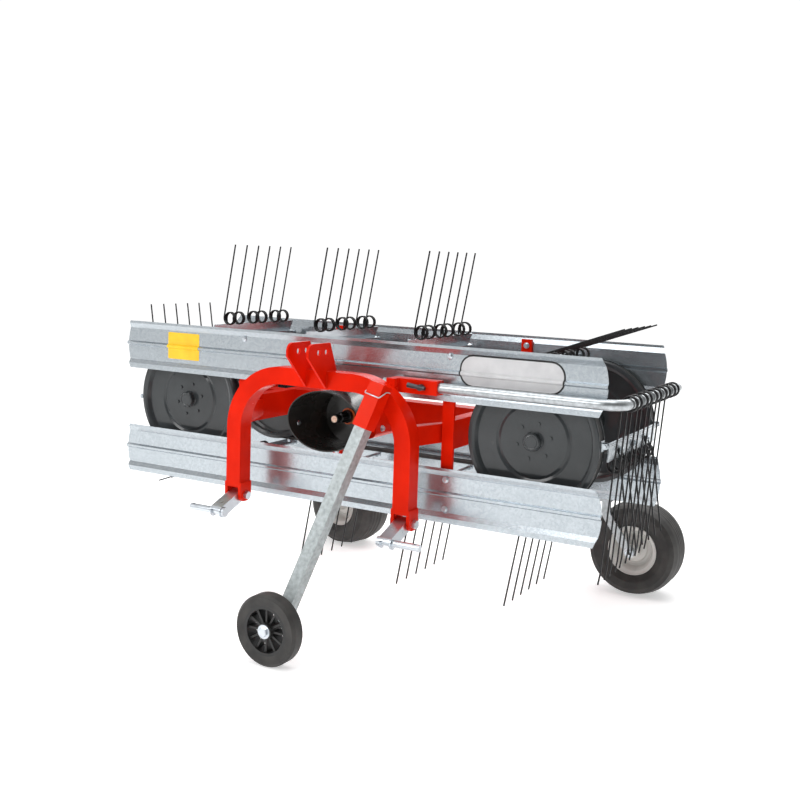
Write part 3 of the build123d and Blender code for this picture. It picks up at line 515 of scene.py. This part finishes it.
for number in range(BARS):
    travel = FIRST_BAR + number * PITCH
    on_bar = carrier(travel, swing_of(travel, on_belt(travel)[2]))
    on_hinge = carrier(travel, 0.0)
    bar = bmesh.new()
    far_end = GUARD_TO_GUARD - LEAF_END
    flat_bar(bar, (0, -LEAF / 2, LEAF_END), (LEAF_STOP, LEAF / 2, far_end), on_bar)
    flat_bar(bar, (LIP_FROM, LIP_DEEP, LEAF_END), (LIP_TO, -LEAF / 2, far_end), on_bar)
    round_bar(bar, on_hinge(0, 0, HINGE_END), on_hinge(0, 0, GUARD_TO_GUARD - HINGE_END), HINGE_ROD, 12)
    for belt_y in (BELT_LINE, GUARD_TO_GUARD - BELT_LINE):
        flat_bar(bar, (-FOOT_REACH, FOOT_LOW, belt_y - FOOT_HALF),
                 (FOOT_REACH, FOOT_TOP, belt_y + FOOT_HALF), on_hinge)
        for lug_y in (belt_y - FOOT_HALF, belt_y + FOOT_HALF - LUG):
            flat_bar(bar, (-LUG_REACH, FOOT_TOP, lug_y), (LUG_REACH, LUG_TOP, lug_y + LUG), on_hinge)
    for pair in range(3):
        clip_y = FIRST_TINE + (2 * pair + 0.5) * TINE_STEP
        flat_bar(bar, (CLIP_FROM, CLIP_LOW, clip_y - CLIP_HALF),
                 (CLIP_TO, CLIP_TOP, clip_y + CLIP_HALF), on_bar)
        round_bar(bar, on_bar(CLIP_BOLT, CLIP_TOP, clip_y),
                  on_bar(CLIP_BOLT, CLIP_BOLT_TOP, clip_y), CLIP_BOLT_R, 6)
    leaf = fitted("bar_leaf_%02d" % (number + 1), bar, galvanised, "frame")
    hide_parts("tine_bar_%02d" % (number + 1))

    springs = []
    for pair in range(3):
        low_y = FIRST_TINE + 2 * pair * TINE_STEP
        near_half = half_spring(low_y, 1)
        far_half = half_spring(low_y + TINE_STEP, -1)
        springs.append([on_bar(*point) for point in near_half + far_half[::-1]])
    tines = bent_wire("bar_springs_%02d" % (number + 1), springs, WIRE, black_wire, "frame")
    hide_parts("tine_bar_%02d" % (number + 1))

# Guards: four long strips of galvanised sheet, roll-formed with a lip, a rib and a bent foot, their
# ends cut to an arc. Each is bolted to the frame's flats by round-headed bolts, and the upper front
# one carries two vinyl labels, left blank here.
GUARD_TOP = 0.934           # the upper guards' top edge and height
GUARD_HIGH = 0.172
GUARD_FOLDS = (             # share of the height from the top, and depth behind the edge
    (0.0, 0.0), (0.05, 0.0), (0.15, 0.012), (0.43, 0.012), (0.46, 0.004), (0.50, 0.004),
    (0.53, 0.012), (0.82, 0.012), (0.90, 0.0), (1.0, 0.0))
SHEET_BACK = 0.012          # the flat of the sheet, in from the guard's edge
FLAT_X = 0.398              # the frame's flats, and the heights of the bolts on each
FLAT_BOLTS = (0.900, 0.514, 0.421)
HEAD_RIM = 0.0025           # a round head: height of its rim and its crown, and its radii
HEAD_CROWN = 0.0050
HEAD_R = 0.0105
CROWN_R = 0.0090
NUT_BACK = 0.0120           # the nut's seat behind the sheet and the flat
LABEL_STRIPS = 48
MAKER_LABEL = (0.433, 0.778, 0.811, 0.912)      # left, right, low and high edge
WARNING_LABEL = (-0.741, -0.598, 0.807, 0.902)
LABEL_BORDER = 0.0055
MAKER_CORNER = 0.046
WARNING_CORNER = 0.004
VINYL = 0.0003
dress(galvanised, "guard_front_upper", "guard_front_lower", "guard_rear_upper", "guard_rear_lower")
guard_bolts = bmesh.new()
for x in (-FLAT_X, FLAT_X):
    for z in FLAT_BOLTS:
        for seat, way in ((SHEET_BACK, -1), (GUARD_TO_GUARD - SHEET_BACK, 1)):
            face = place(x, seat, z)
            outwards = Vector((0, way, 0))
            rim = face + outwards * HEAD_RIM
            round_bar(guard_bolts, face, rim, HEAD_R, 20, 0.9)
            round_bar(guard_bolts, rim, face + outwards * HEAD_CROWN, CROWN_R, 20, 0.6)
            hex_bolt(guard_bolts, face - outwards * NUT_BACK, -outwards)
guard_bolts = fitted("guard_bolts", guard_bolts, bright_zinc, "frame")


def guard_depth(z):
    """How far the upper guard's outer face lies behind its edge, at a height."""
    share = (GUARD_TOP - z) / GUARD_HIGH
    for (above, near), (below, far) in zip(GUARD_FOLDS, GUARD_FOLDS[1:]):
        if share <= below:
            return near + (far - near) * (share - above) / (below - above)
    return 0.0


def guard_label(name, edges, corner, lift, material):
    """A sticker pressed over the upper front guard's folds, its corners rounded."""
    left, right, low, high = edges
    heights = [low + (high - low) * k / LABEL_STRIPS for k in range(LABEL_STRIPS + 1)]
    heights += [GUARD_TOP - share * GUARD_HIGH for share, _ in GUARD_FOLDS
                if low < GUARD_TOP - share * GUARD_HIGH < high]
    rings = []
    for z in sorted(heights):
        reach = min(z - low, high - z, corner)
        inset = corner - math.sqrt(max(corner ** 2 - (corner - reach) ** 2, 0.0))
        front = guard_depth(z) - lift
        back = front + VINYL
        rings.append([place(left + inset, front, z), place(right - inset, front, z),
                      place(right - inset, back, z), place(left + inset, back, z)])
    sticker = bmesh.new()
    skin(sticker, rings)
    fitted(name, sticker, material, "frame", 20)


black_print, tree, shader = surface("black label border", (0.010, 0.010, 0.010), 0.0, 0.35)
uneven_gloss(tree, shader, patches(tree, 0.02), 0.3, 0.4)
white_vinyl, tree, shader = surface("white label", (0.74, 0.74, 0.75), 0.0, 0.35)
mottle(tree, shader, patches(tree, 0.05), (0.60, 0.60, 0.61), (0.68, 0.68, 0.69))
yellow_vinyl, tree, shader = surface("yellow label", (0.90, 0.56, 0.01), 0.0, 0.35)
mottle(tree, shader, patches(tree, 0.05), (0.86, 0.50, 0.01), (0.93, 0.60, 0.02))
left, right, low, high = MAKER_LABEL
inside_border = (left + LABEL_BORDER, right - LABEL_BORDER, low + LABEL_BORDER, high - LABEL_BORDER)
guard_label("maker_label_border", MAKER_LABEL, MAKER_CORNER, 0.0005, black_print)
guard_label("maker_label", inside_border, MAKER_CORNER - LABEL_BORDER, 0.0009, white_vinyl)
guard_label("warning_label", WARNING_LABEL, WARNING_CORNER, 0.0005, yellow_vinyl)

# Windrow comb: a bent galvanised tube that slides in a red holder, where a lever clamps it. Five
# double springs of the same black wire are wound loosely on its far leg and hang down from it.
rail_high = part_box("comb_rail")[1]
RAIL_R = 0.016              # the tube's radius, and its far leg's middle line
RAIL_X = rail_high.x - MIDDLE_X - RAIL_R
RAIL_HEIGHT = 0.805
COMB_FIRST = 0.035          # the first spring, the step to the next, and from tine to twin
COMB_STEP = 0.101
COMB_TWIN = 0.058
COMB_DROP = 0.540           # how far a tine hangs, and how far in its tip is
COMB_LEAN = 0.065
COMB_TURNS = 2.25           # a coil's turns, and its length along the tube
COMB_COIL_LONG = 0.0196
COMB_LEG_END = 0.0275       # end of the leg that lies under the tube
COMB_LEG_LOW = 0.0188
BEND_SHARE = 0.94           # where a tine bends near its tip, and by how much
BEND = 0.003
BOSS_SIDE = 0.012           # the lever: its boss, its grip and its short tail
BOSS_R = 0.010
GRIP_R = 0.0066
GRIP_BACK = 0.004
zinc_tube, tree, shader = surface("galvanised tube", (0.45, 0.47, 0.48), 0.95, 0.35)
mottle(tree, shader, patches(tree, 0.012, 5.0), (0.33, 0.35, 0.36), (0.52, 0.55, 0.57), 0.3, 0.7)
uneven_gloss(tree, shader, patches(tree, 0.02), 0.28, 0.42)
dress(zinc_tube, "comb_rail")
dress(red_coat, "rail_holder")


def comb_half(y, inwards):
    """A hanging tine from its tip up to the tube, its loose coil, and a leg under the tube."""
    side = Vector((RAIL_X - COIL, RAIL_HEIGHT))
    tip = Vector((RAIL_X - COMB_LEAN, RAIL_HEIGHT - COMB_DROP))
    bend = side.lerp(tip, BEND_SHARE) + Vector((BEND, 0))
    points = [place(tip.x, y, tip.y), place(bend.x, y, bend.y), place(side.x, y, side.y - 0.01)]
    for k in range(COIL_STEPS + 1):
        angle = math.pi - math.tau * COMB_TURNS * k / COIL_STEPS
        points.append(place(RAIL_X + COIL * math.cos(angle), y + inwards * COMB_COIL_LONG * k / COIL_STEPS,
                            RAIL_HEIGHT + COIL * math.sin(angle)))
    points.append(place(RAIL_X, y + inwards * COMB_LEG_END, RAIL_HEIGHT - COMB_LEG_LOW))
    return points


comb_springs = []
for k in range(5):
    near = COMB_FIRST + k * COMB_STEP
    comb_springs.append(comb_half(near, 1) + comb_half(near + COMB_TWIN, -1)[::-1])
comb = bent_wire("comb_springs", comb_springs, WIRE, black_wire, "comb")
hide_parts("comb_tines")

lever_low, lever_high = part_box("clamp_lever")
boss_x = (lever_low.x + lever_high.x) / 2 + BOSS_SIDE
boss_z = (lever_low.z + lever_high.z) / 2
boss_back = Vector((boss_x, lever_high.y, boss_z))
boss_front = Vector((boss_x, lever_low.y - 0.002, boss_z))
grip_root = Vector((boss_x, lever_low.y + GRIP_BACK, boss_z))
grip_end = Vector((lever_low.x - 0.006, lever_low.y + 0.001, boss_z + 0.005))
tail_end = Vector((lever_high.x + 0.003, lever_low.y + GRIP_BACK, boss_z - 0.002))
lever = bmesh.new()
round_bar(lever, boss_back, boss_front, BOSS_R, 20)
round_bar(lever, grip_root, grip_end, GRIP_R, taper=1.25)
round_bar(lever, grip_root, tail_end, GRIP_R)
lever_steel, tree, shader = surface("dark lever steel", (0.07, 0.07, 0.075), 0.7, 0.35)
uneven_gloss(tree, shader, patches(tree, 0.01), 0.28, 0.45)
lever = fitted("clamp_handle", lever, lever_steel, "frame")
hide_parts("clamp_lever")

# Lower link brackets: channels folded from plate with a turned pin welded in, zinc-plated. Each
# hangs on a bolt through its fork, and the tractor's lower link goes over the pin.
dress(bright_zinc, "link_bracket_left", "link_bracket_right", "link_bolts")

# Castors: a red beam behind the rear guards with a head at each end, a bent galvanised flat beside
# each wheel, a rim pressed from sheet and painted cream, and a ribbed pneumatic tyre. The axle
# goes through the flat and is held by a nut at each end.
HUB_BORE = 10.5             # the rim's outline, in mm: radius, distance along the axle
HUB_TUBE = 26
HUB_END = 79.5
RIM_OUTLINE = (
    (HUB_BORE, -HUB_END), (22, -HUB_END), (HUB_TUBE, -76), (HUB_TUBE, -44), (31, -38), (45, -35.5), (50, -30),
    (57, -28), (63, -31), (66.5, -38), (70, -52), (76, -59.5), (83, -62.5), (86.5, -65), (87.5, -68.5),
    (89.5, -69), (90.5, -66.5), (89.5, -64.5), (88, -63), (87, -58), (80, -52), (80, 52), (87, 58), (88, 63),
    (89.5, 64.5), (90.5, 66.5), (89.5, 69), (87.5, 68.5), (86.5, 65), (83, 62.5), (78, 59.5), (75, 52),
    (73, -24), (67, -29), (62, -26), (56, -24), (50, -25), (44, -31), (31, -33.5), (27, -38), (HUB_TUBE, -30),
    (HUB_TUBE, 76), (22, HUB_END), (HUB_BORE, HUB_END))
RIM_SIDES = 64
VALVE_IN = 0.040            # the tyre valve: its place on the rim, length, drop and radius
VALVE_RISE = 0.068
VALVE_LONG = 0.024
VALVE_DROP = 0.004
VALVE_R = 0.0045
OUTER_NUT = 0.0893          # seats of the axle's nuts, from the wheel's middle
INNER_NUT = 0.1027
dress(red_coat, "castor_beam", "castor_head_left", "castor_head_right")
cream_coat = powder_coat("cream rim paint", (0.60, 0.59, 0.56), (0.70, 0.69, 0.66), 0.24, 0.5)
tyre_rubber, tree, shader = surface("tyre rubber", (0.02, 0.02, 0.021), 0.0, 0.6)
mottle(tree, shader, patches(tree, 0.05), (0.018, 0.017, 0.016), (0.040, 0.037, 0.034))
grain_relief(tree, shader, patches(tree, 0.002, 3.0), 0.25, 0.0004)


def spun_pressing(builder, outline, middle, axle, sides):
    """Spins a closed outline, in millimetres, round an axle into a ring."""
    across = axle.cross(Vector((0, 0, 1))).normalized()
    rows = []
    for k in range(sides):
        angle = math.tau * k / sides
        arm = across * math.cos(angle) + Vector((0, 0, 1)) * math.sin(angle)
        rows.append([builder.verts.new(middle + arm * radius / 1000 + axle * along / 1000)
                     for radius, along in outline])
    for k, row in enumerate(rows):
        following = rows[(k + 1) % sides]
        for n in range(len(outline)):
            after = (n + 1) % len(outline)
            builder.faces.new((row[n], row[after], following[after], following[n]))


def joint_named(name):
    """The joint's place and its axis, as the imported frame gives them."""
    joint = next(joint for joint in frame["joints"] if joint["name"] == name)
    return Vector(joint["pos_m"]), Vector(joint["axis"]).normalized()


for side in ("left", "right"):
    hub, axle = joint_named("castor_roll_" + side)
    dress(zinc_tube, "castor_arm_" + side)
    dress(tyre_rubber, "castor_tyre_" + side)
    rim = bmesh.new()
    spun_pressing(rim, RIM_OUTLINE, hub, axle, RIM_SIDES)
    valve = hub - axle * VALVE_IN + Vector((0, 0, VALVE_RISE))
    round_bar(rim, valve, valve - axle * VALVE_LONG - Vector((0, 0, VALVE_DROP)), VALVE_R, 12, 0.8)
    rim = fitted("castor_rim_pressing_" + side, rim, cream_coat, "castor_wheel_" + side, 28)
    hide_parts("castor_rim_" + side)
    nuts = bmesh.new()
    hex_bolt(nuts, hub + axle * OUTER_NUT, axle, across=0.0125, height=0.010, washer=0.018)
    hex_bolt(nuts, hub - axle * INNER_NUT, -axle, across=0.0145, height=0.011, washer=0.018)
    nuts = fitted("castor_axle_nuts_" + side, nuts, bright_zinc, "castor_" + side)

# Stand: a hot-dip galvanised square tube in a red sleeve on the arch's leg, with a moulded plastic
# jockey wheel and a solid tyre at its foot. A sprung wire clip round the sleeve holds its pin.
STAND_TOP = (0.256, -0.1605, 0.812)
STAND_FOOT = (0.072, -0.384, 0.107)
NUT_SEAT = 0.0075           # the wheel nut's seat, from the foremost end of the axle
CLIP_OUT = 0.0282           # the clip's wire lies just off the sleeve's faces
CLIP_WIRE = 0.0040
black_plastic, tree, shader = surface("black moulded plastic", (0.012, 0.012, 0.012), 0.0, 0.45)
uneven_gloss(tree, shader, patches(tree, 0.02), 0.38, 0.55)
hot_dip, tree, shader = surface("hot dip zinc", (0.40, 0.43, 0.44), 0.55, 0.52)
mottle(tree, shader, patches(tree, 0.012, 5.0), (0.30, 0.33, 0.33), (0.47, 0.51, 0.52), 0.3, 0.7)
uneven_gloss(tree, shader, patches(tree, 0.02), 0.46, 0.60)
dress(red_coat, "stand_sleeve")
dress(hot_dip, "stand_tube")
dress(black_plastic, "stand_wheel_rim")
dress(tyre_rubber, "stand_wheel_tyre")
stand_hub = joint_named("stand_roll")[0]
nut_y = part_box("stand_tube")[0].y + NUT_SEAT
stand_nut = bmesh.new()
hex_bolt(stand_nut, Vector((stand_hub.x, nut_y, stand_hub.z)), Vector((0, -1, 0)),
         across=0.0150, height=0.0080, washer=0.021)
stand_nut = fitted("stand_axle_nut", stand_nut, bright_zinc, "stand")
up_stand = (place(*STAND_TOP) - place(*STAND_FOOT)).normalized()
aside = (Vector((1, 0, 0)) - up_stand * up_stand.x).normalized()
facing = aside.cross(up_stand)


def on_sleeve(across, out, down):
    """A point across and out from the sleeve's middle line, and down from the stand's top."""
    return place(*STAND_TOP) + aside * across + facing * out - up_stand * down


clip = bent_wire("sleeve_clip", [[
    on_sleeve(CLIP_OUT + 0.004, -0.012, 0.010), on_sleeve(CLIP_OUT, 0.000, 0.012),
    on_sleeve(CLIP_OUT, CLIP_OUT - 0.003, 0.033), on_sleeve(CLIP_OUT - 0.003, CLIP_OUT, 0.036),
    on_sleeve(-CLIP_OUT + 0.004, CLIP_OUT, 0.036), on_sleeve(-CLIP_OUT, CLIP_OUT - 0.004, 0.033),
    on_sleeve(-CLIP_OUT, 0.000, 0.008), on_sleeve(-CLIP_OUT + 0.002, -0.012, 0.002),
]], CLIP_WIRE, bright_zinc, "frame")

# Studio floor: a pale matt sweep, wide enough to reach past the picture's edges. It gives back a
# little light of its own, so that it stays near white and the shadows on it stay soft.
FLOOR_HALF = 30.0
floor_builder = bmesh.new()
bmesh.ops.create_grid(floor_builder, x_segments=1, y_segments=1, size=FLOOR_HALF)
floor_mesh = bpy.data.meshes.new("studio_floor")
floor_builder.to_mesh(floor_mesh)
floor_builder.free()
floor = bpy.data.objects.new("studio_floor", floor_mesh)
bpy.context.scene.collection.objects.link(floor)
floor_paint, tree, shader = surface("pale studio floor", (0.92, 0.92, 0.92), 0.0, 0.9)
shader.inputs["Specular IOR Level"].default_value = 0.1
shader.inputs["Emission Color"].default_value = (1.0, 1.0, 1.0, 1)
shader.inputs["Emission Strength"].default_value = 0.46
floor_mesh.materials.append(floor_paint)

# Camera: where the photograph was taken from, in front of the machine's right end and a little over
# its tines. The machine lies off the middle of the photograph, hence the lens's shifts.
CAMERA_PLACE = (1.8379, -2.8127, 1.2000)
CAMERA_TURN = (84.5141, -2.0470, 28.3889)       # degrees about x, y and z
camera_data = bpy.data.cameras.new("photograph_camera")
camera_data.lens = 46.56
camera_data.sensor_width = 36.0
camera_data.shift_x = -0.0361
camera_data.shift_y = -0.0535
camera_data.clip_end = 100.0
camera = bpy.data.objects.new("photograph_camera", camera_data)
bpy.context.scene.collection.objects.link(camera)
camera.location = place(*CAMERA_PLACE)
camera.rotation_euler = [math.radians(degrees) for degrees in CAMERA_TURN]
bpy.context.scene.camera = camera


# Studio light: one soft box at the front left, one overhead and a weak one behind. The surroundings
# glow too, brighter behind the machine and dimmer behind the camera, as a white room would.
def soft_box(name, stand, aim, width, height, power):
    """A rectangular area light on a stand, turned to what it lights."""
    data = bpy.data.lights.new(name, "AREA")
    data.shape = "RECTANGLE"
    data.size = width
    data.size_y = height
    data.energy = power
    lamp = bpy.data.objects.new(name, data)
    bpy.context.scene.collection.objects.link(lamp)
    lamp.location = stand
    lamp.rotation_mode = "QUATERNION"
    lamp.rotation_quaternion = (Vector(stand) - Vector(aim)).to_track_quat("Z", "Y")


soft_box("key_light", (-2.2, -4.9, 3.4), (0, 0, 0.5), 3.0, 2.2, 140)
soft_box("top_light", (0.3, -0.5, 5.0), (0, 0, 0.6), 4.5, 3.0, 125)
soft_box("back_light", (0.5, 4.5, 3.5), (0, 0, 0.6), 4.0, 2.0, 80)
BRIGHT_WAY = (-0.47, 0.88, 0.0)
world = bpy.data.worlds.new("studio_world")
world.use_nodes = True
room = world.node_tree
background = room.nodes["Background"]
background.inputs["Color"].default_value = (1.0, 1.0, 1.0, 1)
direction = shader_node(room, "ShaderNodeTexCoord")
facing_way = shader_node(room, "ShaderNodeVectorMath", operation="DOT_PRODUCT")
facing_way.inputs[1].default_value = BRIGHT_WAY
glow = shader_node(room, "ShaderNodeMapRange", From_Min=-0.6, From_Max=0.6, To_Min=0.20, To_Max=1.05)
room.links.new(direction.outputs["Generated"], facing_way.inputs[0])
room.links.new(facing_way.outputs["Value"], glow.inputs["Value"])
room.links.new(glow.outputs["Result"], background.inputs["Strength"])
bpy.context.scene.world = world
bpy.context.scene.view_settings.view_transform = "Standard"
